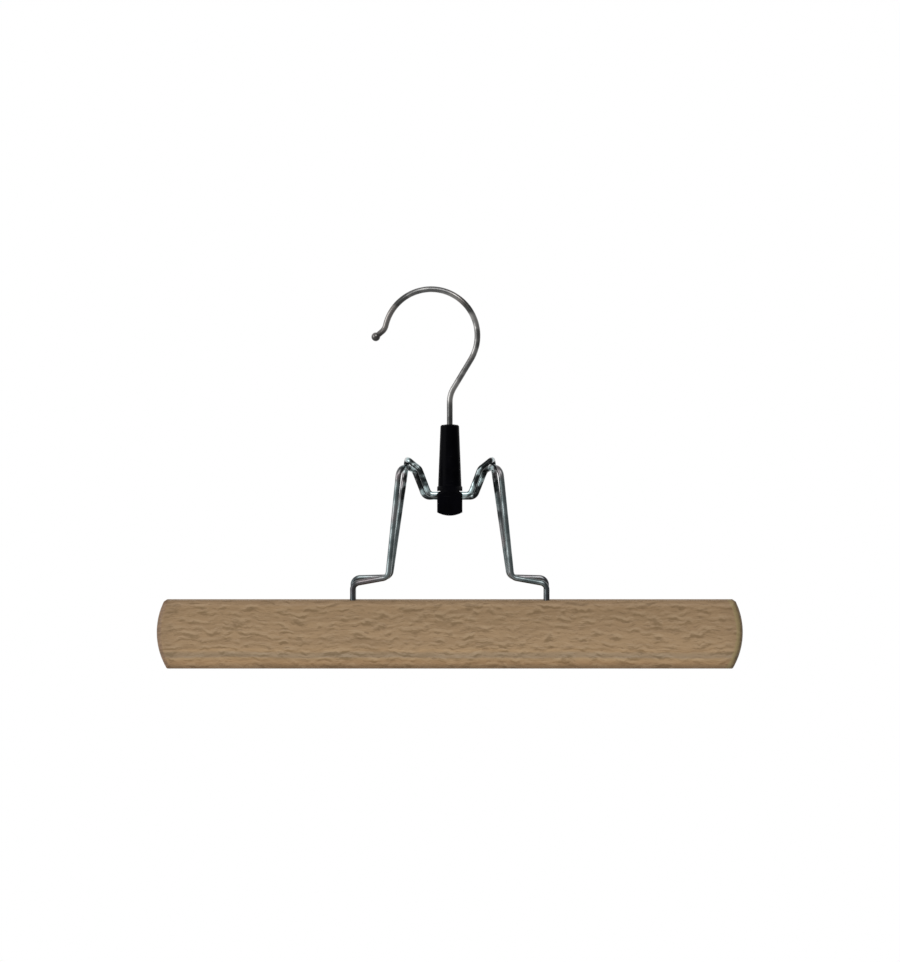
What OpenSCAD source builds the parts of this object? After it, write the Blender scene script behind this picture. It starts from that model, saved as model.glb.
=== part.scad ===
// Trouser hanger with two felt-lined wooden jaws on crossed wire frames.
// The frames cross at two horns, which makes them levers: their upper runs, the dips, pass through the
// sleeve below the horns, and the wedge on the end of the hook spreads the dips and so shuts the jaws.
// Pushing the hook down through the sleeve lets the dips come together and the jaws fall open.
// +X runs along the bars, +Y to the back and +Z up. The origin is where the rail bears on the hook.
// The jaws are drawn shut.

/* [Jaw bars] */
// Length of a wooden bar
bar_l = 250; // [220:1:280]
// Height of a bar
bar_h = 29; // [26:0.5:34]
// Thickness of a bar
bar_t = 10; // [9:0.5:12]
// Radius of the arched bar ends, seen from the front
end_r = 30; // [24:1:40]
// Height of the arches' centres above the bar's middle
arch_lift = 1; // [0:0.1:2]
// Rounding of the outer edges
outer_edge_r = 2.5; // [1.5:0.25:3]
// Rounding of the edges beside the felt
inner_edge_r = 0.8; // [0.5:0.1:1]
// Rounding of the four corners, seen from the front
corner_r = 1.2; // [0.8:0.1:2]

/* [Felt] */
// Length of a felt strip
felt_l = 234; // [190:1:236]
// Height of a felt strip
felt_h = 22; // [16:0.5:23]
// Thickness of the felt
felt_t = 1.6; // [1.4:0.1:2.4]
// Depth of the felt's recess in the bar
felt_recess = 0.4; // [0.2:0.1:0.8]
// Gap between the two felts with the jaws shut
jaw_gap = 0.4; // [0.3:0.1:0.8]

/* [Wire frames] */
// Wire diameter of the frames
frame_d = 2.4; // [2.2:0.1:2.5]
// Distance between the two feet of a frame
foot_span = 82.8; // [76:0.2:100]
// Depth of a foot in its bar
foot_depth = 12; // [8:0.5:15]
// Height from the bars up to the jaw pivot
jaw_drop = 58.4; // [54:0.2:66]
// Height from the upper dip up to the jaw pivot
horn_h = 13.2; // [12.8:0.1:14.6]
// Height between the two dips
dip_step = 1.2; // [0.8:0.1:1.6]
// Running gap where the two frames cross
cross_gap = 0.5; // [0.4:0.1:0.8]
// Inner bend radius at the feet and knees
foot_bend_r = 1.8; // [1.4:0.1:2.2]
// Inner bend radius at the horns
horn_bend_r = 1.3; // [1:0.1:1.4]
// Inner bend radius where a front leg turns into its horn
leg_bend_r = 2.8; // [2:0.1:3.2]
// Inner bend radius at the top of a rear leg
shoulder_bend_r = 0.6; // [0.4:0.1:0.8]

/* [Frame shape] */
// Height of the front frame's feet above the bar, up to the step
front_step_h = 7.1; // [6.4:0.1:7.6]
// Height of the rear frame's feet above the bar, up to the step
rear_step_h = 9.2; // [8.8:0.1:10]
// Length of the front frame's steps
front_step_l = 15; // [14.2:0.1:15.6]
// Length of the rear frame's steps
rear_step_l = 15.8; // [15.2:0.1:16.4]
// Rise of a front step from its foot to its knee
front_step_rise = 2.7; // [2:0.1:3.2]
// Rise of a rear step from its foot to its knee
rear_step_rise = 0.4; // [0.2:0.1:1]
// Width of the front frame over the outer ends of its horns
front_horn_w = 43.4; // [42.8:0.1:44]
// Width of the front frame over the inner ends of its horns
front_saddle_w = 30.4; // [30:0.1:31]
// Width of the lower dip, in the front frame
lower_dip_w = 21.4; // [21:0.1:22]
// Width of the rear frame over its horns, where its legs end
rear_horn_w = 36.6; // [36.2:0.1:37]
// Width of the rear frame where its wire has crossed the middle plane
rear_saddle_w = 35.2; // [34.8:0.1:35.6]
// Width of the rear frame over the shoulders of its dip
rear_shoulder_w = 25.8; // [25.2:0.1:26.4]
// Width of the upper dip, in the rear frame
upper_dip_w = 17.6; // [17.2:0.1:18]
// How far a front leg leans towards the middle plane, from its knee to its horn
front_lean = 1.4; // [1:0.1:1.6]
// How far a rear leg leans towards the middle plane, from its knee to its horn
rear_lean = 0.4; // [0.2:0.1:0.6]
// How far the rear frame's wire carries on past the middle plane before it turns
rear_reach = 1.6; // [1.4:0.1:1.8]
// Fall of the front frame's wire from where it crosses to the outer end of its horn
front_horn_fall = 0.9; // [0.6:0.1:1.2]
// Fall of the front frame's wire from where it crosses to the inner end of its horn
front_saddle_fall = 1.5; // [1.2:0.1:1.8]
// Fall of the rear frame's wire from its horn to its shoulder
shoulder_fall = 3.7; // [3.4:0.1:4]

/* [Hook] */
// Wire diameter of the hook
hook_d = 2.5; // [2.3:0.1:2.7]
// Inner radius of the bow that hangs on the rail
bow_r = 18.6; // [16:0.2:21]
// Distance of the bow's crown from the shank axis
crown_offset = 8; // [6:0.2:9]
// Lean of the straight wire between shank and bow
lean = 31; // [28:0.5:34]
// Centreline radius of the bend at the foot of that straight wire
lean_bend_r = 11.5; // [8:0.5:13]
// How far the bow carries on past its crown
bow_past_crown = 76; // [70:1:86]
// Outward turn of the tip
tip_flare = 36; // [20:1:45]
// Inner radius of the tip's outward turn
tip_bend_r = 3.8; // [2.6:0.1:6]
// Straight length of the tip
tip_l = 3.4; // [2.6:0.2:6]
// Diameter of the ball on the tip
ball_d = 3.8; // [3.4:0.1:5]
// Shank in sight below the bend, over which the sleeve travels
shank_free = 9.8; // [8.6:0.2:14]

/* [Sleeve] */
// Diameter of the sleeve at its top
neck_top_d = 8; // [7.4:0.1:9]
// Diameter of the sleeve at its shoulder
neck_low_d = 10; // [9.4:0.1:10.4]
// Length from the top to the shoulder
neck_l = 26.1; // [22:0.2:32]
// Width of the collar, across the front
collar_w = 10.8; // [10.6:0.1:13]
// Rounding of the collar's upright edges
collar_edge_r = 1; // [0.6:0.1:1.1]
// Solid height over the channel
channel_roof = 2.1; // [1.8:0.1:3]
// Height of the collar below the lower dip
skirt = 6.6; // [5.4:0.2:8.8]
// Radius of the arched lower edge
skirt_arch_r = 11; // [9:0.5:16]
// Thickness of the channel's front and back walls
collar_wall = 1.2; // [1.1:0.1:2]

/* [Wedge] */
// Width of the wedge along the bars
wedge_w = 8; // [6.6:0.2:8.4]
// Least wall between the shank and the wedge's faces
wedge_wall = 0.65; // [0.5:0.05:0.8]
// Height of the wedge below the lower dip
wedge_below = 2; // [1.6:0.1:3]
// Diameter of the riveted head that carries the wedge
head_d = 4.2; // [3.8:0.1:4.8]
// Thickness of the riveted head
head_t = 0.9; // [0.7:0.1:1.2]

/* [Motion] */
// Swing of each jaw from shut to open
open_angle = 7.2; // [6:0.1:8]
// Travel of the sleeve along the shank from shut to open
travel = 7; // [6.4:0.1:7.4]

/* [Fits] */
// Gap between parts that slide past each other
slide_gap = 0.3; // [0.25:0.05:0.35]
// Radial gap round the shank in the sleeve and the wedge
shank_gap = 0.08; // [0.06:0.01:0.1]
// Radial gap round a foot in its hole
foot_gap = 0.05; // [0.03:0.01:0.1]

/* [Hidden] */
$fn = 64;
// How far a cut runs past the surface that it opens
over = 1;
// Bevel and crown of the sleeve's top
top_bevel = 0.5;
top_crown = 0.3;
// Bent wire is a hair thicker in its bends, and a straight run ends this far inside them
bend_swell = 0.02;
bend_grip = 0.2;
// Straight wire between the bow and the tip's turn
tip_lead = 0.5;

frame_r = frame_d / 2;
hook_r = hook_d / 2;

// The bow's centreline, and where the leaning wire leaves it and would meet the shank axis
bow_line_r = bow_r + hook_r;
bow_foot_x = bow_line_r * cos(lean);
bow_foot_z = -bow_r - bow_line_r * sin(lean);
lean_l = (bow_foot_x - crown_offset) / sin(lean);
lean_foot_z = bow_foot_z - lean_l * cos(lean);
lean_bend_l = lean_bend_r * tan(lean / 2);

// Heights, from the hook down to the bars
shank_top_z = lean_foot_z - lean_bend_l;
sleeve_top_z = shank_top_z - shank_free;
shoulder_z = sleeve_top_z - neck_l;
channel_z = shoulder_z - channel_roof;
upper_dip_z = channel_z - slide_gap - frame_r;
lower_dip_z = upper_dip_z - dip_step;
collar_z = lower_dip_z - frame_r - skirt;
pivot_z = upper_dip_z + horn_h;
bar_top_z = pivot_z - jaw_drop;
foot_z = bar_top_z - foot_depth;
wedge_z = lower_dip_z - wedge_below;

// Distances from the middle plane between the jaws
bar_y = jaw_gap / 2 + felt_t - felt_recess;
foot_y = bar_y + bar_t / 2;
open_dip_y = hook_r + frame_r + slide_gap;

// A dip's distance from the middle with the jaws shut, for a height z: swinging open brings it to
// open_dip_y, just clear of the shank
function shut_dip_y(z) = (open_dip_y + (pivot_z - z) * sin(open_angle)) / cos(open_angle);

// How much a dip sinks as the jaw swings open
function dip_sink(z) = shut_dip_y(z) * sin(open_angle) - (pivot_z - z) * (1 - cos(open_angle));

upper_dip_y = shut_dip_y(upper_dip_z);
lower_dip_y = shut_dip_y(lower_dip_z);
channel_y = lower_dip_y + frame_r + slide_gap;
collar_y = channel_y + collar_wall;

// The wedge's face beside the dip at height z: its slope, and its distance from the middle there
function face_slope(z) = (shut_dip_y(z) - open_dip_y) / (travel - dip_sink(z));
function face_y(z) = shut_dip_y(z) - (frame_r + slide_gap) * sqrt(1 + pow(face_slope(z), 2));

// The wedge is as tall as the steeper face allows before it comes too close to the shank
wedge_top_y = hook_r + shank_gap + wedge_wall;
wedge_top_z = lower_dip_z + (face_y(lower_dip_z) - wedge_top_y) / face_slope(lower_dip_z);

// Where the frames cross, the rear one's wire lies this far above the pivot and the front one's below
cross_lift = (frame_d + cross_gap) / 2;
cross_x = (front_horn_w + front_saddle_w) / 4;

// The left half of each frame from its foot to its dip: x outward from the middle, y towards the
// frame's own jaw, and z. The front frame passes under the rear one at the horns.
front_half = [
    [foot_span / 2, foot_y, foot_z],
    [foot_span / 2, foot_y, bar_top_z + front_step_h],
    [foot_span / 2 - front_step_l, foot_y, bar_top_z + front_step_h + front_step_rise],
    [front_horn_w / 2, foot_y - front_lean, pivot_z - cross_lift - front_horn_fall],
    [cross_x, 0, pivot_z - cross_lift],
    [front_saddle_w / 2, -lower_dip_y, pivot_z - cross_lift - front_saddle_fall],
    [lower_dip_w / 2, -lower_dip_y, lower_dip_z]
];
rear_half = [
    [foot_span / 2, foot_y, foot_z],
    [foot_span / 2, foot_y, bar_top_z + rear_step_h],
    [foot_span / 2 - rear_step_l, foot_y, bar_top_z + rear_step_h + rear_step_rise],
    [rear_horn_w / 2, foot_y - rear_lean, pivot_z + cross_lift],
    [rear_saddle_w / 2, -rear_reach, pivot_z + cross_lift],
    [rear_shoulder_w / 2, -upper_dip_y, pivot_z + cross_lift - shoulder_fall],
    [upper_dip_w / 2, -upper_dip_y, upper_dip_z]
];

// Centreline radii of the bends at those corners
foot_bend = foot_bend_r + frame_r;
horn_bend = horn_bend_r + frame_r;
leg_bend = leg_bend_r + frame_r;
shoulder_bend = shoulder_bend_r + frame_r;
front_bends = [foot_bend, foot_bend, leg_bend, horn_bend, horn_bend, foot_bend];
rear_bends = [foot_bend, foot_bend, shoulder_bend, shoulder_bend, horn_bend, horn_bend];

function unit(v) = v / norm(v);
function reversed(list) = [for (i = [len(list) - 1:-1:0]) list[i]];

// A whole frame from its left half; side is -1 for the front jaw and 1 for the rear one
function frame_points(half, side) = concat(
    [for (p = half) [-p.x, side * p.y, p.z]],
    [for (p = reversed(half)) [p.x, side * p.y, p.z]]);

module on_shank() {
    translate([crown_offset, 0, 0])
        children();
}

// A straight run of round wire up Z from the origin. It reaches into the bends at its two ends; start
// and end say which ends have one. The children go on from its end.
module run(length, d, start = 1, end = 1) {
    translate([0, 0, -start * bend_grip])
        cylinder(d = d, h = length + (start + end) * bend_grip);
    translate([0, 0, length])
        children();
}

// A bend of round wire that starts up Z at the origin and turns towards -X. The children go on from
// its end.
module bend(radius, angle, d) {
    translate([-radius, 0, 0])
        rotate([90, 0, 0])
            rotate_extrude(angle = angle)
                translate([radius, 0])
                    circle(d = d + bend_swell);
    translate([radius * (cos(angle) - 1), 0, radius * sin(angle)])
        rotate([0, -angle, 0])
            children();
}

// Round wire through corner points, with one bend radius for each inner corner. It starts up Z, and
// side is the local X axis. used is the length that the bend before has taken of this run.
module bent_wire(points, bends, d, i = 0, side = [1, 0, 0], used = 0) {
    here = unit(points[i + 1] - points[i]);
    last = i == len(points) - 2;
    next = last ? here : unit(points[i + 2] - points[i + 1]);
    turn = last ? 0 : acos(here * next);
    taken = last ? 0 : bends[i] * tan(turn / 2);
    length = norm(points[i + 1] - points[i]) - used - taken;
    run(length, d, i == 0 ? 0 : 1, last ? 0 : 1)
        if (!last) {
            away = unit(cos(turn) * here - next);
            roll = atan2(away * cross(here, side), away * side);
            rotate([0, 0, roll])
                bend(bends[i], turn, d)
                    bent_wire(points, bends, d, i + 1, cos(turn) * away + sin(turn) * here, taken);
        }
}

// What a rounding of radius r takes off a corner whose two sides run along -X and -Y from the origin
module corner_waste(r) {
    difference() {
        translate([-r, -r])
            square(r + over);
        translate([-r, -r])
            circle(r);
    }
}

// A rectangle about the origin, with its four corners rounded
module rounded_rectangle(w, h, r) {
    difference() {
        square([w, h], center = true);
        for (sx = [-1, 1])
            for (sy = [-1, 1])
                scale([sx, sy])
                    translate([w / 2, h / 2])
                        corner_waste(r);
    }
}

module hook() {
    color("silver")
        on_shank()
            translate([0, 0, wedge_z + slide_gap]) {
                cylinder(d = head_d, h = head_t);
                bent_hook(shank_top_z - wedge_z - slide_gap);
            }
}

// The hook's wire, in the order in which a wire bender feeds and bends it
module bent_hook(shank_l) {
    run(shank_l, hook_d, start = 0)
        rotate([0, 0, 180])
            bend(lean_bend_r, lean, hook_d)
                run(lean_l - lean_bend_l, hook_d)
                    rotate([0, 0, 180])
                        bend(bow_line_r, lean + 90 + bow_past_crown, hook_d)
                            run(tip_lead, hook_d)
                                rotate([0, 0, 180])
                                    bend(tip_bend_r + hook_r, tip_flare, hook_d)
                                        run(tip_l, hook_d, end = 0)
                                            sphere(d = ball_d);
}

// The front frame's dip lies behind the shank, at the lower height, and the rear frame's in front
module wedge() {
    faces = [
        [face_y(lower_dip_z) + wedge_below * face_slope(lower_dip_z), wedge_z],
        [wedge_top_y, wedge_top_z],
        [-face_y(upper_dip_z) + (wedge_top_z - upper_dip_z) * face_slope(upper_dip_z), wedge_top_z],
        [-face_y(upper_dip_z) - (upper_dip_z - wedge_z) * face_slope(upper_dip_z), wedge_z]
    ];
    color("dimgray")
        on_shank()
            difference() {
                translate([-wedge_w / 2, 0, 0])
                    rotate([90, 0, 90])
                        linear_extrude(wedge_w)
                            polygon(faces);
                translate([0, 0, wedge_z - over])
                    cylinder(r = hook_r + shank_gap, h = wedge_top_z - wedge_z + 2 * over);
                translate([0, 0, wedge_z - over])
                    cylinder(d = head_d + 2 * slide_gap, h = over + slide_gap + head_t + shank_gap);
            }
}

module sleeve() {
    pocket_y = face_y(upper_dip_z) + slide_gap;
    color([0.08, 0.08, 0.09])
        on_shank()
            difference() {
                union() {
                    neck();
                    collar();
                }
                // The shank's bore
                translate([0, 0, collar_z])
                    cylinder(r = hook_r + shank_gap, h = sleeve_top_z - collar_z + over);
                // The channel that the dips and the wedge move in, open below and to both sides
                translate([-collar_w, -channel_y, collar_z - over])
                    cube([2 * collar_w, 2 * channel_y, channel_z - collar_z + over]);
                // Room for the top of the wedge
                translate([-wedge_w / 2 - slide_gap, -pocket_y, channel_z - over])
                    cube([wedge_w + 2 * slide_gap, 2 * pocket_y, wedge_top_z + slide_gap - channel_z + over]);
            }
}

// The tapered neck, with a bevelled and slightly crowned top
module neck() {
    rotate_extrude()
        polygon([
            [0, shoulder_z - channel_roof / 2],
            [neck_low_d / 2, shoulder_z - channel_roof / 2],
            [neck_low_d / 2, shoulder_z],
            [neck_top_d / 2, sleeve_top_z - top_bevel],
            [neck_top_d / 2 - top_bevel, sleeve_top_z],
            [hook_r, sleeve_top_z + top_crown],
            [0, sleeve_top_z + top_crown]
        ]);
}

// The collar has a sloping shoulder under the neck and an arched lower edge
module collar() {
    shoulder_r = norm([collar_w / 2, collar_y]);
    intersection() {
        translate([0, 0, collar_z])
            linear_extrude(shoulder_z - collar_z)
                rounded_rectangle(collar_w, 2 * collar_y, collar_edge_r);
        rotate_extrude()
            polygon([
                [0, collar_z],
                [shoulder_r, collar_z],
                [shoulder_r, shoulder_z - shoulder_r + neck_low_d / 2],
                [neck_low_d / 2, shoulder_z],
                [0, shoulder_z]
            ]);
        translate([0, -collar_y - over, collar_z + skirt_arch_r])
            rotate([-90, 0, 0])
                cylinder(r = skirt_arch_r, h = 2 * (collar_y + over), $fn = 96);
    }
}

module wire_frame(half, bends, side) {
    points = frame_points(half, side);
    on_shank()
        translate(points[0])
            bent_wire(points, concat(bends, reversed(bends)), frame_d);
}

module front_frame() {
    color("gainsboro")
        wire_frame(front_half, front_bends, -1);
}

module rear_frame() {
    color("gainsboro")
        wire_frame(rear_half, rear_bends, 1);
}

// A bar's cross-section, with its inner face along the Y axis and its outer face at x = bar_t
module bar_section(height) {
    difference() {
        translate([0, -height])
            square([bar_t, height]);
        for (low = [0, 1])
            translate([0, -low * height])
                scale([1, low == 0 ? 1 : -1]) {
                    translate([bar_t, 0])
                        corner_waste(outer_edge_r);
                    scale([-1, 1])
                        corner_waste(inner_edge_r);
                }
    }
}

// One jaw's bar, with its inner face on y = 0 and its top on z = 0
module bar() {
    arch_x = bar_l / 2 - end_r;
    arch_z = arch_lift - bar_h / 2;
    difference() {
        intersection() {
            translate([-bar_l / 2, 0, 0])
                rotate([90, 0, 90])
                    linear_extrude(bar_l)
                        bar_section(bar_h);
            union() {
                translate([-arch_x, 0, -bar_h])
                    cube([2 * arch_x, bar_t, bar_h]);
                for (side = [-1, 1])
                    translate([side * arch_x, 0, arch_z])
                        rotate([-90, 0, 0])
                            arch_disc();
            }
        }
        for (side = [-1, 1])
            translate([side * foot_span / 2, bar_t / 2, -foot_depth - slide_gap])
                cylinder(r = frame_r + foot_gap, h = foot_depth + slide_gap + over);
        for (side = [-1, 1])
            for (up = [-1, 1])
                translate([side * arch_x, -over, arch_z])
                    rotate([-90, 0, 0])
                        linear_extrude(bar_t + 2 * over)
                            scale([side, -up])
                                arch_corner_waste(bar_h / 2 - up * arch_lift);
        translate([-felt_l / 2, -over, -(bar_h + felt_h) / 2])
            cube([felt_l, over + felt_recess, felt_h]);
    }
}

// What the rounding of an arched end's corner takes off. The origin is the arch's centre, and the
// rounding's circle touches both the arch and the bar's long edge, which is edge_z away.
module arch_corner_waste(edge_z) {
    z = edge_z - corner_r;
    centre = [sqrt(pow(end_r - corner_r, 2) - pow(z, 2)), z];
    reach = corner_r + over;
    translate(centre)
        difference() {
            polygon([[0, 0], reach * unit(centre), [reach, reach], [0, reach]]);
            circle(corner_r);
        }
}

// The disc whose rounded rim makes a bar's arched end, from z = 0 at the inner face
module arch_disc() {
    rotate_extrude($fn = 128)
        difference() {
            square([end_r, bar_t]);
            translate([end_r, bar_t])
                corner_waste(outer_edge_r);
            translate([end_r, 0])
                scale([1, -1])
                    corner_waste(inner_edge_r);
        }
}

// The felt strip, with its glued face in the bar's recess
module felt() {
    translate([-felt_l / 2, felt_recess - felt_t, -(bar_h + felt_h) / 2])
        cube([felt_l, felt_t, felt_h]);
}

// Puts a jaw's piece in its place; side is -1 for the front jaw and 1 for the rear one
module on_jaw(side) {
    on_shank()
        rotate([0, 0, side > 0 ? 0 : 180])
            translate([0, bar_y, bar_top_z])
                children();
}

module front_bar() {
    color("tan")
        on_jaw(-1)
            bar();
}

module rear_bar() {
    color("tan")
        on_jaw(1)
            bar();
}

module front_felt() {
    color("darkolivegreen")
        on_jaw(-1)
            felt();
}

module rear_felt() {
    color("darkolivegreen")
        on_jaw(1)
            felt();
}

hook();
wedge();
sleeve();
front_frame();
rear_frame();
front_bar();
rear_bar();
front_felt();
rear_felt();
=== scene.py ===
# A trouser hanger: two felt-lined beech bars on crossed wire frames, held shut by the sleeve and the
# wedge on the end of its hook. Everything is in metres, and the origin is where the rail bears.
import math
import bpy
import numpy as np
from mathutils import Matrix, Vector


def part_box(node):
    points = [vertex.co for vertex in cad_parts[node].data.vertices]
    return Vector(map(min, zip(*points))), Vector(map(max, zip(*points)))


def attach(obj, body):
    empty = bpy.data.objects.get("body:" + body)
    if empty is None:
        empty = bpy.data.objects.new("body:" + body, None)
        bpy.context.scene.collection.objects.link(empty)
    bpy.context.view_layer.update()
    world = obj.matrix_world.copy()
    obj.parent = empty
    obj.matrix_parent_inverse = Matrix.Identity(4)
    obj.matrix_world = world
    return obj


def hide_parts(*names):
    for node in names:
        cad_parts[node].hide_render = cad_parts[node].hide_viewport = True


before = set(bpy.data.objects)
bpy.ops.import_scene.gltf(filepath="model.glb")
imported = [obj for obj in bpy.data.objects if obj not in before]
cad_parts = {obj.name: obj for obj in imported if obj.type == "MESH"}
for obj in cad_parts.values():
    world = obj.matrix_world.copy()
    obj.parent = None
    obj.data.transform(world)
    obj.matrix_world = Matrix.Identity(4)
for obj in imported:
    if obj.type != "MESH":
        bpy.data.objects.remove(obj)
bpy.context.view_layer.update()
scene = bpy.context.scene
scene.view_settings.view_transform = "Standard"

# The camera stands 2.4 m in front of the hanger and looks down by less than a degree, so that the wires
# enter the bars right at the bars' upper outline.
aim = Vector((0.0081, 0.0, -0.0808))
camera_distance = 2.4
camera_tilt = math.radians(0.8)
picture_height = 0.4117

lens = bpy.data.cameras.new("camera")
lens.sensor_fit = "VERTICAL"
lens.sensor_height = 24.0
lens.lens = lens.sensor_height * camera_distance / picture_height
lens.clip_start = 0.01
camera = bpy.data.objects.new("camera", lens)
camera.location = aim + camera_distance * Vector((0, -math.cos(camera_tilt), math.sin(camera_tilt)))
camera.rotation_euler = (math.pi / 2 - camera_tilt, 0, 0)
scene.collection.objects.link(camera)
scene.camera = camera


# The studio: a white wall behind the hanger, a paper floor well below it, and a room whose light falls
# from left to right, which shades the wires, but never below a pale level. Two large soft lamps stand on
# the left and high in front.
def piece_from_grid(name, points, closed=False, caps=False):
    """A mesh through an array of points [u, v, xyz], one quad for each four neighbours. closed joins the
    last point of each ring to its first, and caps closes the first and last ring with one face each."""
    nu, nv = points.shape[:2]
    index = np.arange(nu * nv).reshape(nu, nv)
    here, after = index[:-1], index[1:]
    if closed:
        quads = np.stack([here, after, np.roll(after, -1, 1), np.roll(here, -1, 1)], -1)
    else:
        quads = np.stack([here[:, :-1], after[:, :-1], after[:, 1:], here[:, 1:]], -1)
    faces = quads.reshape(-1, 4).tolist()
    if caps:
        faces += [index[0].tolist(), index[-1][::-1].tolist()]
    mesh = bpy.data.meshes.new(name)
    mesh.from_pydata(points.reshape(-1, 3).tolist(), [], faces)
    mesh.update()
    piece = bpy.data.objects.new(name, mesh)
    scene.collection.objects.link(piece)
    return piece


def emptied(owner):
    """The node tree of a material or world, with nothing in it yet."""
    owner.use_nodes = True
    owner.node_tree.nodes.clear()
    return owner.node_tree


def put(tree, kind, settings=None, **sockets):
    """Adds one node. settings are its properties; sockets are its inputs by name, or by number after an
    underscore, each given a value or the output that feeds it."""
    added = tree.nodes.new(kind)
    for key, value in (settings or {}).items():
        setattr(added, key, value)
    for key, value in sockets.items():
        socket = added.inputs[int(key[1:])] if key[0] == "_" else added.inputs[key.replace("_", " ")]
        if isinstance(value, bpy.types.NodeSocket):
            tree.links.new(value, socket)
        else:
            socket.default_value = value
    return added


def maths(tree, kind, a, b=0.0):
    """One Math node: kind names what is done with a and b."""
    return put(tree, "ShaderNodeMath", {"operation": kind}, _0=a, _1=b).outputs[0]


def plus(tree, a, b):
    """a plus b."""
    return maths(tree, "ADD", a, b)


def minus(tree, a, b):
    """a minus b."""
    return maths(tree, "SUBTRACT", a, b)


def times(tree, a, b):
    """a times b."""
    return maths(tree, "MULTIPLY", a, b)


def ranged(tree, value, low, high, to_low=0.0, to_high=1.0):
    """value from low..high to to_low..to_high, eased and held at both ends."""
    added = put(tree, "ShaderNodeMapRange", {"interpolation_type": "SMOOTHSTEP"}, Value=value,
                From_Min=low, From_Max=high, To_Min=to_low, To_Max=to_high)
    return added.outputs[0]


# The room's light in a direction: its level ahead, what a step to the right and one upwards add, and the
# least that it is. The wall begins and is full at these parts of a step to the back.
light_ahead = 0.57
light_to_right = -0.42
light_upwards = 0.02
least_light = 0.42
wall_begins = 0.1
wall_full = 0.6


def seen_ray(tree):
    """1 on a camera, glossy or transmission ray, and 0 on the rays that light the hanger."""
    path = put(tree, "ShaderNodeLightPath")
    return maths(tree, "MAXIMUM", path.outputs["Is Camera Ray"],
                 maths(tree, "MAXIMUM", path.outputs["Is Glossy Ray"], path.outputs["Is Transmission Ray"]))


room = bpy.data.worlds.new("room")
scene.world = room
tree = emptied(room)
look = put(tree, "ShaderNodeSeparateXYZ", Vector=put(tree, "ShaderNodeTexCoord").outputs["Generated"])
sideways = times(tree, look.outputs["X"], light_to_right)
upwards = times(tree, look.outputs["Z"], light_upwards)
level = plus(tree, plus(tree, sideways, upwards), light_ahead)
level = maths(tree, "MAXIMUM", level, least_light)
wall = times(tree, ranged(tree, look.outputs["Y"], wall_begins, wall_full), seen_ray(tree))
to_white = times(tree, minus(tree, 1.0, level), wall)
lit_air = put(tree, "ShaderNodeBackground", Color=(1, 1, 1, 1), Strength=plus(tree, level, to_white))
put(tree, "ShaderNodeOutputWorld", Surface=lit_air.outputs[0])

floor_z = -1.5
floor_half = 2.4
corners = np.array([[(x, y, floor_z) for y in (-floor_half, floor_half)] for x in (-floor_half, floor_half)])
paper_floor = piece_from_grid("paper_floor", corners)

# The paper takes the hanger's shadow near the middle. To the camera and in reflections it is thin, and
# towards its edges it fades out, so that the room shows through.
paper_grey = (0.85, 0.85, 0.85, 1)
paper_strength = 0.5
fade_begins = 1.55
fade_ends = 2.6
paper = bpy.data.materials.new("studio paper")
tree = emptied(paper)
matt = put(tree, "ShaderNodeBsdfDiffuse", Color=paper_grey)
clear = put(tree, "ShaderNodeBsdfTransparent")
from_middle = put(tree, "ShaderNodeVectorMath", {"operation": "LENGTH"},
                  _0=put(tree, "ShaderNodeTexCoord").outputs["Object"])
matt_part = ranged(tree, from_middle.outputs["Value"], fade_begins, fade_ends,
                   to_low=paper_strength, to_high=0.0)
shown = put(tree, "ShaderNodeMixShader", _0=matt_part, _1=clear.outputs[0], _2=matt.outputs[0])
both = put(tree, "ShaderNodeMixShader", _0=seen_ray(tree), _1=matt.outputs[0], _2=shown.outputs[0])
put(tree, "ShaderNodeOutputMaterial", Surface=both.outputs[0])
paper_floor.data.materials.append(paper)


def soft_lamp(name, place, size, power):
    """A square soft lamp at place that faces the middle of the hanger."""
    lamp = bpy.data.lights.new(name, "AREA")
    lamp.size = size
    lamp.energy = power
    holder = bpy.data.objects.new(name, lamp)
    holder.location = place
    holder.rotation_euler = (aim - Vector(place)).to_track_quat("-Z", "Y").to_euler()
    holder.visible_camera = False
    scene.collection.objects.link(holder)


soft_lamp("left_lamp", place=(-1.25, -0.6, 0.2), size=1.0, power=7.6)
soft_lamp("top_lamp", place=(0.1, -1.15, 0.9), size=1.1, power=11.8)


# The hook is one length of drawn steel wire, zinc plated after bending, with a ball pressed on its tip
# and its lower end riveted over inside the sleeve. Handling has dulled the plating in soft patches, and
# cloudy patches of painted dark reflection darken it.
def on_piece(tree):
    """A point's place on its piece, in metres, which stays with the piece when it moves."""
    return put(tree, "ShaderNodeTexCoord").outputs["Object"]


def shifted(tree, shift):
    """A point's place moved by shift, so that two pieces of one material don't show the same patches."""
    return put(tree, "ShaderNodeVectorMath", {"operation": "ADD"}, _0=on_piece(tree), _1=shift).outputs[0]


def mixed(tree, factor, a, b, blend="MIX"):
    """Colour b over colour a by factor, as one Mix node."""
    added = put(tree, "ShaderNodeMix", {"data_type": "RGBA", "blend_type": blend}, _0=factor, _6=a, _7=b)
    return added.outputs[2]


def noise(tree, vector, scale, detail, rough=0.55):
    """The grey value of one Noise texture."""
    added = put(tree, "ShaderNodeTexNoise", Vector=vector, Scale=scale, Detail=detail, Roughness=rough)
    return added.outputs[0]


def group_of(name, inputs, outputs):
    """An empty shader group with the named sockets, and the nodes that stand for them inside it."""
    group = bpy.data.node_groups.new(name, "ShaderNodeTree")
    for label, kind in inputs:
        group.interface.new_socket(label, in_out="INPUT", socket_type=kind)
    for label, kind in outputs:
        group.interface.new_socket(label, in_out="OUTPUT", socket_type=kind)
    return group, group.nodes.new("NodeGroupInput"), group.nodes.new("NodeGroupOutput")


COLOUR, NUMBER, ARROW = "NodeSocketColor", "NodeSocketFloat", "NodeSocketVector"

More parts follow.
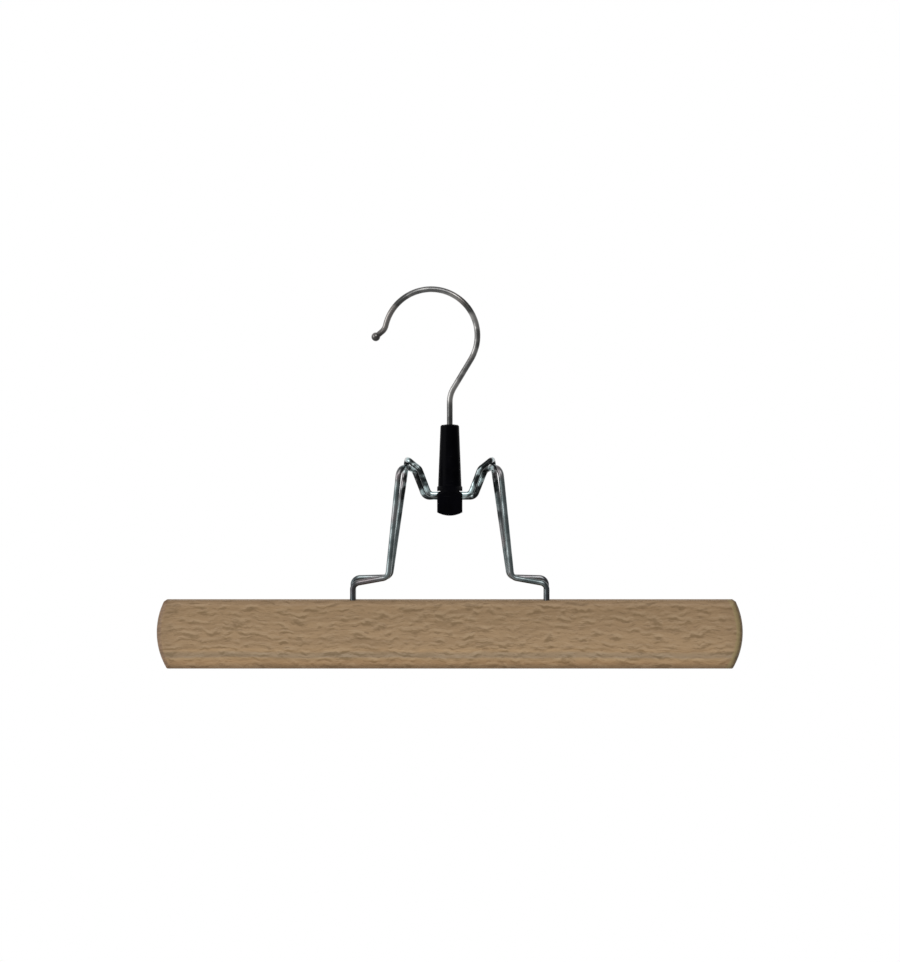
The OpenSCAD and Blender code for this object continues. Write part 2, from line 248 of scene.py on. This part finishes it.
# The shank and the middle of the bars stand to the right of where the rail bears
middle_x = 0.008

zinc_grain = (0.1, 0.1, 0.09, 1)
zinc_speck = (0.13, 0.12, 0.1, 1)
painted_gleam_zinc = (0.5, 0.62, 0.63, 1)
dark_reflection_zinc = (0.012, 0.015, 0.015, 1)
dark_zinc = (0.02, 0.023, 0.028, 1)
speck_depth = 0.6

plating, taken, given = group_of(
    "zinc plating",
    [("Bright", COLOUR), ("Dull", COLOUR), ("Blush", COLOUR), ("Tarnish", NUMBER), ("Rubbed", NUMBER),
     ("Stains", NUMBER), ("Shift", ARROW)],
    [("Color", COLOUR), ("Roughness", NUMBER), ("Height", NUMBER)])
spot = shifted(plating, taken.outputs["Shift"])
patch = ranged(plating, noise(plating, spot, scale=140, detail=3), 0.38, 0.62)
blush = ranged(plating, noise(plating, spot, scale=62, detail=2), 0.46, 0.66, to_high=0.75)
spangle = noise(plating, spot, scale=1500, detail=4, rough=0.6)
speck = ranged(plating, noise(plating, spot, scale=2600, detail=2), 0.64, 0.74, to_high=0.55)
colour = mixed(plating, patch, taken.outputs["Bright"], taken.outputs["Dull"])
colour = mixed(plating, blush, colour, taken.outputs["Blush"])
colour = mixed(plating, ranged(plating, spangle, 0.35, 0.65, to_high=0.16), colour, zinc_grain)
colour = mixed(plating, speck, colour, zinc_speck)
# Clouds over the plating: the dark ones are painted dark reflections, and the places between them are
# painted bright as highlights
cloud = noise(plating, spot, scale=taken.outputs["Stains"], detail=2)
rubbed = times(plating, ranged(plating, cloud, 0.4, 0.5, to_low=1.0, to_high=0.0), taken.outputs["Rubbed"])
colour = mixed(plating, rubbed, colour, painted_gleam_zinc)
tarnish = times(plating, ranged(plating, cloud, 0.46, 0.58), taken.outputs["Tarnish"])
colour = mixed(plating, tarnish, colour, dark_reflection_zinc)
plating.links.new(colour, given.inputs["Color"])
rough = plus(plating, ranged(plating, patch, 0, 1, to_low=0.13, to_high=0.27),
             ranged(plating, spangle, 0.3, 0.7, to_low=-0.03, to_high=0.06))
plating.links.new(rough, given.inputs["Roughness"])
plating.links.new(minus(plating, spangle, times(plating, speck, speck_depth)), given.inputs["Height"])


def plated_wire(name, bright, dull, blush, tarnish, rubbed, stains, reach, dark_from, shift):
    """Zinc-plated wire: the plating group over a metal, with its grain as a fine bump. The three numbers
    after blush give how dark its patches of painted dark reflection are, from 0 to 1, how bright the painted
    highlights between them are, and how many patches there are in a metre. They go as far as reach to the
    left and right of the shank, and beyond dark_from the wire is darker all over."""
    material = bpy.data.materials.new(name)
    tree = emptied(material)
    fade = 0.002
    darkest = 0.72
    across = put(tree, "ShaderNodeSeparateXYZ", Vector=on_piece(tree)).outputs["X"]
    from_shank = maths(tree, "ABSOLUTE", minus(tree, across, middle_x))
    skin = put(tree, "ShaderNodeGroup", {"node_tree": plating}, Bright=bright, Dull=dull, Blush=blush,
               Tarnish=ranged(tree, from_shank, reach - fade, reach, to_low=tarnish, to_high=0.0),
               Rubbed=ranged(tree, from_shank, reach - 2 * fade, reach - fade, to_low=rubbed, to_high=0.0),
               Stains=stains, Shift=shift)
    bump = put(tree, "ShaderNodeBump", Height=skin.outputs["Height"], Strength=0.25, Distance=0.00006)
    darker = ranged(tree, from_shank, dark_from - fade, dark_from, to_high=darkest)
    colour = mixed(tree, darker, skin.outputs["Color"], dark_zinc)
    metal = put(tree, "ShaderNodeBsdfPrincipled", Base_Color=colour, Metallic=1.0,
                Roughness=skin.outputs["Roughness"], Normal=bump.outputs[0])
    put(tree, "ShaderNodeOutputMaterial", Surface=metal.outputs[0])
    return material


def finish_node(name, material):
    """Gives a CAD node its finish, as its only material."""
    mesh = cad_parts[name].data
    mesh.materials.clear()
    mesh.materials.append(material)
    mesh.polygons.foreach_set("material_index", [0] * len(mesh.polygons))


finish_node("hook", plated_wire(
    "plated hook wire", bright=(0.3, 0.295, 0.288, 1), dull=(0.13, 0.13, 0.13, 1),
    blush=(0.2, 0.182, 0.172, 1), tarnish=0.66, rubbed=0.0, stains=85, reach=0.1, dark_from=0.1,
    shift=(0.91, 0.62, 0.77)))

# The wedge is a small sintered steel block, threaded on the shank above its riveted head. Its two
# sloping faces press on the frames' dips, which have rubbed them bright.
steel = (0.2, 0.2, 0.2, 1)
bright_steel = (0.42, 0.41, 0.4, 1)
steel_pore = (0.05, 0.05, 0.05, 1)

sinter = bpy.data.materials.new("sintered steel")
tree = emptied(sinter)
place = on_piece(tree)
pores = noise(tree, place, scale=3800, detail=4, rough=0.65)
rubbed = ranged(tree, noise(tree, place, scale=420, detail=3), 0.45, 0.7)
body_colour = mixed(tree, rubbed, steel, bright_steel)
body_colour = mixed(tree, ranged(tree, pores, 0.55, 0.7, to_high=0.7), body_colour, steel_pore)
bump = put(tree, "ShaderNodeBump", Height=pores, Strength=0.5, Distance=0.0001)
metal = put(tree, "ShaderNodeBsdfPrincipled", Base_Color=body_colour, Metallic=0.9,
            Roughness=ranged(tree, rubbed, 0, 1, to_low=0.62, to_high=0.36), Normal=bump.outputs[0])
put(tree, "ShaderNodeOutputMaterial", Surface=metal.outputs[0])
finish_node("wedge", sinter)

# The sleeve is moulded in black plastic with a satin skin. It has a faint line where the mould's halves
# met, left and right, and hair-fine marks from being gripped.
marks, taken, given = group_of("handling marks", [("Shift", ARROW)], [("Marks", NUMBER), ("Dust", NUMBER)])
spot = shifted(marks, taken.outputs["Shift"])
hairs = []
for lean, stretch in ((0.5, (110, 1500, 2600)), (-1.1, (140, 1900, 2900))):
    turned = put(marks, "ShaderNodeMapping", Vector=spot, Rotation=(0.2, lean, 0.3), Scale=stretch)
    hairs.append(ranged(marks, noise(marks, turned.outputs[0], scale=1.0, detail=2), 0.68, 0.73))
marks.links.new(maths(marks, "MAXIMUM", hairs[0], hairs[1]), given.inputs["Marks"])
dust = ranged(marks, noise(marks, spot, scale=260, detail=5, rough=0.7), 0.5, 0.8)
marks.links.new(dust, given.inputs["Dust"])

black = (0.0002, 0.0002, 0.0007, 1)
clouded_black = (0.0006, 0.0006, 0.0014, 1)
dust_grey = (0.02, 0.019, 0.018, 1)
mark_grey = (0.014, 0.014, 0.014, 1)
dust_strength = 0.06
mark_strength = 0.25
mark_rough = 0.2
mark_depth = 0.3
satin_height = 0.35
seam_height = 1.6
# Half the seam's width along its crest and along its foot
seam_crest = 0.00004
seam_foot = 0.00016

moulded = bpy.data.materials.new("black moulded plastic")
tree = emptied(moulded)
place = on_piece(tree)
worn = put(tree, "ShaderNodeGroup", {"node_tree": marks}, Shift=(0.4, 0.2, 0.1))
satin = noise(tree, place, scale=2400, detail=3)
cloudy = noise(tree, place, scale=180, detail=3)
depth = put(tree, "ShaderNodeSeparateXYZ", Vector=place).outputs["Y"]
seam = ranged(tree, maths(tree, "ABSOLUTE", depth), seam_crest, seam_foot, to_low=1.0, to_high=0.0)
skin_colour = mixed(tree, ranged(tree, cloudy, 0.35, 0.65), black, clouded_black)
skin_colour = mixed(tree, times(tree, worn.outputs["Dust"], dust_strength), skin_colour, dust_grey)
skin_colour = mixed(tree, times(tree, worn.outputs["Marks"], mark_strength), skin_colour, mark_grey)
skin_rough = plus(tree, ranged(tree, cloudy, 0.3, 0.7, to_low=0.32, to_high=0.44),
                  times(tree, worn.outputs["Marks"], mark_rough))
relief = plus(tree, times(tree, satin, satin_height), times(tree, seam, seam_height))
relief = minus(tree, relief, times(tree, worn.outputs["Marks"], mark_depth))
bump = put(tree, "ShaderNodeBump", Height=relief, Strength=0.35, Distance=0.00006)
skin = put(tree, "ShaderNodeBsdfPrincipled", Base_Color=skin_colour, Roughness=skin_rough,
           Normal=bump.outputs[0], Specular_IOR_Level=0.02)
put(tree, "ShaderNodeOutputMaterial", Surface=skin.outputs[0])
finish_node("sleeve", moulded)

# The two frames are bent from one size of plated spring wire and left as bent. Their zinc is a little
# greener than the hook's, with a pinkish bloom in places. Near the shank it has patches of painted dark
# reflection with painted bright highlights between them, and on the feet it is darker all over.
frame_wire = plated_wire(
    "plated frame wire", bright=(0.2, 0.234, 0.238, 1), dull=(0.085, 0.108, 0.111, 1),
    blush=(0.19, 0.154, 0.16, 1), tarnish=0.94, rubbed=0.8, stains=210, reach=0.0225, dark_from=0.041,
    shift=(0.35, 0.72, 0.62))
finish_node("front_frame", frame_wire)
finish_node("rear_frame", frame_wire)

# The bars are beech, sawn along the grain, rounded over on the outer side and at the arched ends, and
# lacquered. The end grain has drunk more lacquer and is darker. The rounded ends and edges, and the wood
# round each foot where the wire enters its hole, are painted darker as shade.
bar_half_l = 0.125
bar_h = 0.029
arch_r = 0.030
arch_lift = 0.001
edge_r = 0.0025
foot_x = 0.0414
foot_y = 0.0064
bar_low, bar_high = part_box("front_bar")
bar_middle_z = (bar_low.z + bar_high.z) / 2

# How far the growth rings waver and ripple up and down, the parts of both that the broad rings take,
# and how steeply the rings fall from front to back
waver_size = 0.0052
ripple_size = 0.003
waver_part = 0.35
ripple_part = 0.3
ring_slope = 0.4
fibre_height = 0.6
fleck_depth = 0.25
gleam_lift = 0.0012
gleam_strength = 0.62
fleck_strength = 0.74
pore_strength = 0.42
pore_brown = (0.115, 0.068, 0.034, 1)

grain, taken, given = group_of(
    "beech",
    [("Shift", ARROW), ("Light", COLOUR), ("Middle", COLOUR), ("Dark", COLOUR), ("Fleck", COLOUR),
     ("Gleam", COLOUR)],
    [("Color", COLOUR), ("Roughness", NUMBER), ("Height", NUMBER), ("Ring", NUMBER), ("End", NUMBER)])
spot = shifted(grain, taken.outputs["Shift"])
along = put(grain, "ShaderNodeSeparateXYZ", Vector=spot)
waver = times(grain, minus(grain, noise(grain, spot, scale=34, detail=2), 0.5), waver_size)
ripple = times(grain, minus(grain, noise(grain, spot, scale=170, detail=2), 0.5), ripple_size)
ring = plus(grain, plus(grain, along.outputs["Z"], waver), ripple)
ring = plus(grain, ring, times(grain, along.outputs["Y"], ring_slope))


def stretched(x_scale, ring_scale, y_scale, detail, lift=0.0):
    """Noise drawn out along the bar: its scales along the grain, across the rings and through. lift moves
    the same noise up across the rings."""
    drawn = put(grain, "ShaderNodeCombineXYZ", X=times(grain, along.outputs["X"], x_scale),
                Y=times(grain, along.outputs["Y"], y_scale),
                Z=times(grain, minus(grain, ring, lift), ring_scale))
    return noise(grain, drawn.outputs[0], scale=1.0, detail=detail)


bands = stretched(5, 210, 150, 2)
streaks = stretched(46, 560, 500, 3)
fibres = stretched(160, 3600, 3600, 3)
flecks = ranged(grain, stretched(150, 620, 420, 3), 0.49, 0.69)
gleam = ranged(grain, stretched(150, 620, 420, 3, lift=gleam_lift), 0.46, 0.66)
end_rings = ranged(grain, stretched(60, 1250, 260, 3), 0.42, 0.58)
end_rays = ranged(grain, stretched(300, 700, 3600, 2), 0.58, 0.7)
pores = ranged(grain, stretched(240, 2500, 2300, 2), 0.6, 0.68)
wood = mixed(grain, ranged(grain, bands, 0.34, 0.66), taken.outputs["Light"], taken.outputs["Middle"])
wood = mixed(grain, ranged(grain, streaks, 0.46, 0.72, to_high=0.6), wood, taken.outputs["Dark"])
wood = mixed(grain, times(grain, gleam, gleam_strength), wood, taken.outputs["Gleam"])
wood = mixed(grain, times(grain, flecks, fleck_strength), wood, taken.outputs["Fleck"])
wood = mixed(grain, ranged(grain, fibres, 0.3, 0.7, to_high=0.3), wood, taken.outputs["Dark"])
wood = mixed(grain, times(grain, pores, pore_strength), wood, pore_brown)
grain.links.new(wood, given.inputs["Color"])
bent = plus(grain, times(grain, waver, waver_part), times(grain, ripple, ripple_part))
grain.links.new(bent, given.inputs["Ring"])
grain.links.new(maths(grain, "MAXIMUM", end_rings, end_rays), given.inputs["End"])
grain.links.new(ranged(grain, streaks, 0.3, 0.7, to_low=0.36, to_high=0.48), given.inputs["Roughness"])
relief = times(grain, fibres, fibre_height)
relief = minus(grain, relief, plus(grain, times(grain, flecks, fleck_depth), pores))
grain.links.new(relief, given.inputs["Height"])

light_wood = (0.345, 0.233, 0.13, 1)
middle_wood = (0.29, 0.193, 0.107, 1)
dark_wood = (0.216, 0.14, 0.073, 1)
fleck_brown = (0.158, 0.1, 0.047, 1)
gleam_tan = (0.39, 0.278, 0.17, 1)
painted_shade_brown = (0.15, 0.1, 0.058, 1)
left_end_brown = (0.17, 0.098, 0.06, 1)
end_pore_brown = (0.07, 0.045, 0.024, 1)
lacquer_line = (0.26, 0.205, 0.095, 1)
foot_hole_shade = (0.07, 0.048, 0.03, 1)
mark_tan = (0.42, 0.32, 0.22, 1)
shade_strength = 0.22
end_strength = 0.6
end_pore_strength = 0.42
line_strength = 0.6
edge_shade_strength = 0.25
scratch_strength = 0.12
dust_rough = 0.14
edge_rough = 0.35
ragged_size = 0.0012
half_blend = 0.01

# The painted shade round a foot, where the wire enters its hole: how dark it is, its radii where it is
# full and where it ends, and the depths below the bar's top where it is full and where it ends
hole_shade_strength = 0.75
hole_shade_full_r = 0.0013
hole_shade_end_r = 0.0026
hole_shade_full_depth = 0.001
hole_shade_end_depth = 0.003


def length_of(tree, a, b):
    """The distance whose two parts at right angles are a and b."""
    return maths(tree, "SQRT", plus(tree, times(tree, a, a), times(tree, b, b)))


def lacquered_beech(name, side, shift, right_end_tone, ring_and_shade_tones):
    """A bar's finish: the beech group, with darker end grain on its arched ends and painted shade over their
    rounding, along its rounded edges and round its feet. side is -1 for the front bar and 1 for the rear
    one, and the last argument lists heights, from 0 at its lower edge to 1 at the top, each with the factors
    of its colour there: growth rings, with painted highlight and shade near the rounded edges."""
    material = bpy.data.materials.new(name)
    tree = emptied(material)
    wood = put(tree, "ShaderNodeGroup", {"node_tree": grain}, Shift=shift, Light=light_wood,
               Middle=middle_wood, Dark=dark_wood, Fleck=fleck_brown, Gleam=gleam_tan)
    place = on_piece(tree)
    at = put(tree, "ShaderNodeSeparateXYZ", Vector=place)
    from_middle = maths(tree, "ABSOLUTE", minus(tree, at.outputs["X"], middle_x))
    up = minus(tree, at.outputs["Z"], bar_middle_z)
    up_arch = minus(tree, up, arch_lift)
    # The distance from the arch's centre, which is the arch's radius on the bar's very end
    past_arch = maths(tree, "MAXIMUM", minus(tree, from_middle, bar_half_l - arch_r), 0.0)
    round_end = length_of(tree, past_arch, up_arch)
    ragged = times(tree, minus(tree, noise(tree, place, scale=520, detail=3), 0.5), ragged_size)
    round_end = plus(tree, round_end, ragged)
    end_band = ranged(tree, round_end, arch_r - 0.95 * edge_r, arch_r - 0.4 * edge_r)
    end_line = times(tree, ranged(tree, round_end, arch_r - 1.25 * edge_r, arch_r - edge_r),
                     ranged(tree, round_end, arch_r - 0.6 * edge_r, arch_r - 0.3 * edge_r,
                            to_low=1.0, to_high=0.0))
    # Painted shade over the rounding of each end, and along the rounded top and bottom edges, which are also
    # rougher
    end_shade = ranged(tree, round_end, arch_r - 4 * edge_r, arch_r - 0.5 * edge_r)
    edge = ranged(tree, maths(tree, "ABSOLUTE", up), bar_h / 2 - 0.9 * edge_r, bar_h / 2 - 0.1 * edge_r)
    # Growth rings and painted edge highlight and shade along the whole length, as factors up the height
    ring_and_shade_ramp = put(tree, "ShaderNodeValToRGB", Fac=put(
        tree, "ShaderNodeMapRange", Value=plus(tree, up, wood.outputs["Ring"]),
        From_Min=-bar_h / 2, From_Max=bar_h / 2).outputs[0])
    stops = ring_and_shade_ramp.color_ramp.elements
    stops[0].position, stops[0].color = ring_and_shade_tones[0][0], (*ring_and_shade_tones[0][1], 1)
    stops[1].position, stops[1].color = ring_and_shade_tones[-1][0], (*ring_and_shade_tones[-1][1], 1)
    for position, factors in ring_and_shade_tones[1:-1]:
        stops.new(position).color = (*factors, 1)
    colour = mixed(tree, 1.0, wood.outputs["Color"], ring_and_shade_ramp.outputs[0], "MULTIPLY")
    right_end = ranged(tree, at.outputs["X"], middle_x - half_blend, middle_x + half_blend)
    end_tone = mixed(tree, right_end, left_end_brown, right_end_tone)
    colour = mixed(tree, times(tree, end_shade, shade_strength), colour, painted_shade_brown)
    colour = mixed(tree, times(tree, end_band, end_strength), colour, end_tone)
    open_grain = times(tree, end_band, wood.outputs["End"])
    colour = mixed(tree, times(tree, open_grain, end_pore_strength), colour, end_pore_brown)
    line = times(tree, end_line, times(tree, right_end, line_strength))
    colour = mixed(tree, line, colour, lacquer_line)
    colour = mixed(tree, times(tree, edge, edge_shade_strength), colour, painted_shade_brown)
    # Painted shade round each foot, where the wire enters its hole
    from_foot = length_of(tree, minus(tree, from_middle, foot_x),
                          minus(tree, at.outputs["Y"], side * foot_y))
    hole_shade = times(tree, ranged(tree, plus(tree, from_foot, ragged), hole_shade_full_r, hole_shade_end_r,
                               to_low=hole_shade_strength, to_high=0.0),
                  ranged(tree, up, bar_h / 2 - hole_shade_end_depth, bar_h / 2 - hole_shade_full_depth))
    colour = mixed(tree, hole_shade, colour, foot_hole_shade)
    worn = put(tree, "ShaderNodeGroup", {"node_tree": marks}, Shift=shift)
    colour = mixed(tree, times(tree, worn.outputs["Marks"], scratch_strength), colour, mark_tan)
    rough = plus(tree, wood.outputs["Roughness"], times(tree, worn.outputs["Dust"], dust_rough))
    rough = plus(tree, rough, times(tree, edge, edge_rough))
    bump = put(tree, "ShaderNodeBump", Height=wood.outputs["Height"], Strength=0.22, Distance=0.00012)
    lacquer = put(tree, "ShaderNodeBsdfPrincipled", Base_Color=colour, Roughness=rough,
                  Normal=bump.outputs[0], Specular_IOR_Level=0.22)
    put(tree, "ShaderNodeOutputMaterial", Surface=lacquer.outputs[0])
    return material


# On the front bar the light bands just above its lower edge are a painted highlight where the rounding
# begins, and the tones that darken towards the top edge, and on the rear bar towards both edges, are painted
# shade. The bands between are growth rings.
front_ring_and_shade_tones = [(0.0, (1.08, 1.03, 1.02)), (0.055, (0.98, 0.93, 0.88)), (0.1, (1.05, 0.98, 0.9)),
               (0.145, (1.12, 1.12, 1.08)), (0.175, (0.93, 1.0, 1.12)), (0.225, (0.98, 1.04, 1.12)),
               (0.265, (1.12, 1.1, 1.06)), (0.31, (1.0, 1.0, 1.0)), (0.6, (1.0, 1.0, 1.0)),
               (0.78, (0.96, 0.96, 0.95)), (0.93, (0.88, 0.86, 0.83)), (1.0, (0.84, 0.82, 0.82))]
rear_ring_and_shade_tones = [(0.0, (0.84, 0.81, 0.8)), (0.06, (0.95, 0.93, 0.9)), (0.3, (1.0, 1.0, 1.0)),
              (0.42, (1.08, 1.07, 1.04)), (0.47, (0.93, 0.92, 0.92)), (0.55, (1.0, 1.0, 1.0)),
              (0.83, (1.06, 1.04, 1.0)), (0.9, (0.93, 0.9, 0.88)), (1.0, (0.86, 0.84, 0.84))]
finish_node("front_bar", lacquered_beech(
    "front bar beech", side=-1, shift=(0.013, 0.0, 0.021), right_end_tone=(0.115, 0.085, 0.045, 1),
    ring_and_shade_tones=front_ring_and_shade_tones))
finish_node("rear_bar", lacquered_beech(
    "rear bar beech", side=1, shift=(0.47, 0.31, 0.17), right_end_tone=(0.13, 0.085, 0.05, 1),
    ring_and_shade_tones=rear_ring_and_shade_tones))

# Each bar is lined with a strip of wool felt, cut with small rounded edges and glued into a shallow
# recess. The felt is soft, so its face and its cut edges are not quite even.
felt_l = 0.2338
felt_h = 0.0218
felt_corner = 0.00045
felt_face_y = 0.00024
felt_back_y = 0.00179
felt_unevenness = 0.00005
fine_rounds = 3
broad_rounds = 60
felt_stations = 420
felt_steps = (3, 26)
corner_points = 6


def smooth_noise(shape, rounds, seed):
    """Random numbers on a grid, averaged with their neighbours for a number of rounds, from -1 to 1."""
    field = np.random.default_rng(seed).standard_normal(shape)
    for _ in range(rounds):
        field = (field + np.roll(field, 1, 0) + np.roll(field, -1, 0)
                 + np.roll(field, 1, 1) + np.roll(field, -1, 1)) / 5
    return field / np.abs(field).max()


def felt_section(steps):
    """A flat rounded rectangle, as unit offsets from its straight core: rows of (y, z, core y, core z).
    Each corner is a quarter circle. steps are the numbers of points between two corners, through the
    strip's thickness and up its height."""
    rows = []
    sides = [(1, 1), (-1, 1), (-1, -1), (1, -1)]
    for turn_no, (cy, cz) in enumerate(sides):
        sweep = np.radians(90 * turn_no) + np.linspace(0, np.pi / 2, corner_points)
        rows.append(np.stack([np.cos(sweep), np.sin(sweep), np.full(corner_points, cy),
                              np.full(corner_points, cz)], -1))
        ny, nz = sides[(turn_no + 1) % 4]
        run = np.linspace(0, 1, steps[turn_no % 2] + 2)[1:-1]
        normal = (np.cos(sweep[-1]), np.sin(sweep[-1]))
        rows.append(np.stack([np.full(len(run), normal[0]), np.full(len(run), normal[1]),
                              cy + (ny - cy) * run, cz + (nz - cz) * run], -1))
    return np.concatenate(rows)


felt_low, felt_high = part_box("front_felt")
felt_middle_z = (felt_low.z + felt_high.z) / 2


def felt_strip(name, node, body, side, seed):
    """The strip: the section carried along the bar, drawn in at both ends along a quarter circle, with a
    soft unevenness on all but the glued side."""
    core_y = (felt_back_y - felt_face_y) / 2 - felt_corner
    core_z = felt_h / 2 - felt_corner
    section = felt_section(felt_steps)
    ends = felt_corner * (1 - np.cos(np.linspace(0, np.pi / 2, corner_points)))
    middle = np.linspace(-felt_l / 2, felt_l / 2, felt_stations)[2:-2]
    stations = np.concatenate([-felt_l / 2 + ends, middle, felt_l / 2 - ends[::-1]])
    inset = np.clip((felt_corner - (felt_l / 2 - np.abs(stations))) / felt_corner, 0, 1)
    reach = felt_corner * np.sqrt(np.clip(1 - inset ** 2, 0.0004, 1))
    bumps = felt_unevenness * smooth_noise((len(stations), len(section)), fine_rounds, seed)
    bumps += felt_unevenness * smooth_noise((len(stations), len(section)), broad_rounds, seed + 1)
    out = reach[:, None] + bumps * (section[None, :, 0] < 0.5)
    points = np.zeros((len(stations), len(section), 3))
    points[..., 0] = middle_x + stations[:, None]
    points[..., 1] = side * ((felt_face_y + felt_back_y) / 2 + core_y * section[None, :, 2]
                             + out * section[None, :, 0])
    points[..., 2] = felt_middle_z + core_z * section[None, :, 3] + out * section[None, :, 1]
    strip = piece_from_grid(name, points if side < 0 else points[::-1], closed=True, caps=True)
    strip.data.polygons.foreach_set("use_smooth", [True] * len(strip.data.polygons))
    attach(strip, body)
    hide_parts(node)
    return strip


felt_green = (0.036, 0.05, 0.026, 1)
light_felt_green = (0.056, 0.072, 0.038, 1)
strand_green = (0.12, 0.14, 0.085, 1)
matted_green = (0.02, 0.028, 0.015, 1)
nap_tint = (0.55, 0.6, 0.45, 1)
matted_height = 0.7

wool = bpy.data.materials.new("wool felt")
tree = emptied(wool)
place = on_piece(tree)
matted = noise(tree, place, scale=900, detail=5, rough=0.7)
clumps = noise(tree, place, scale=160, detail=4, rough=0.6)
strands = []
for lean in (0.3, 1.2, 2.2):
    turned = put(tree, "ShaderNodeMapping", Vector=place, Rotation=(0.1, lean, 0.2), Scale=(500, 900, 5200))
    strands.append(noise(tree, turned.outputs[0], scale=1.0, detail=2))
strand = maths(tree, "MAXIMUM", maths(tree, "MAXIMUM", strands[0], strands[1]), strands[2])
wool_colour = mixed(tree, ranged(tree, clumps, 0.35, 0.65), felt_green, light_felt_green)
wool_colour = mixed(tree, ranged(tree, strand, 0.56, 0.74, to_high=0.7), wool_colour, strand_green)
wool_colour = mixed(tree, ranged(tree, matted, 0.5, 0.7, to_high=0.5), wool_colour, matted_green)
relief = plus(tree, times(tree, matted, matted_height), strand)
bump = put(tree, "ShaderNodeBump", Height=relief, Strength=0.7, Distance=0.00022)
nap = put(tree, "ShaderNodeBsdfPrincipled", Base_Color=wool_colour, Roughness=0.95,
          Normal=bump.outputs[0], Sheen_Weight=0.5, Sheen_Roughness=0.45, Sheen_Tint=nap_tint)
put(tree, "ShaderNodeOutputMaterial", Surface=nap.outputs[0])
front_strip = felt_strip("front_felt_strip", "front_felt", "front_jaw", side=-1, seed=11)
front_strip.data.materials.append(wool)
rear_strip = felt_strip("rear_felt_strip", "rear_felt", "rear_jaw", side=1, seed=23)
rear_strip.data.materials.append(wool)
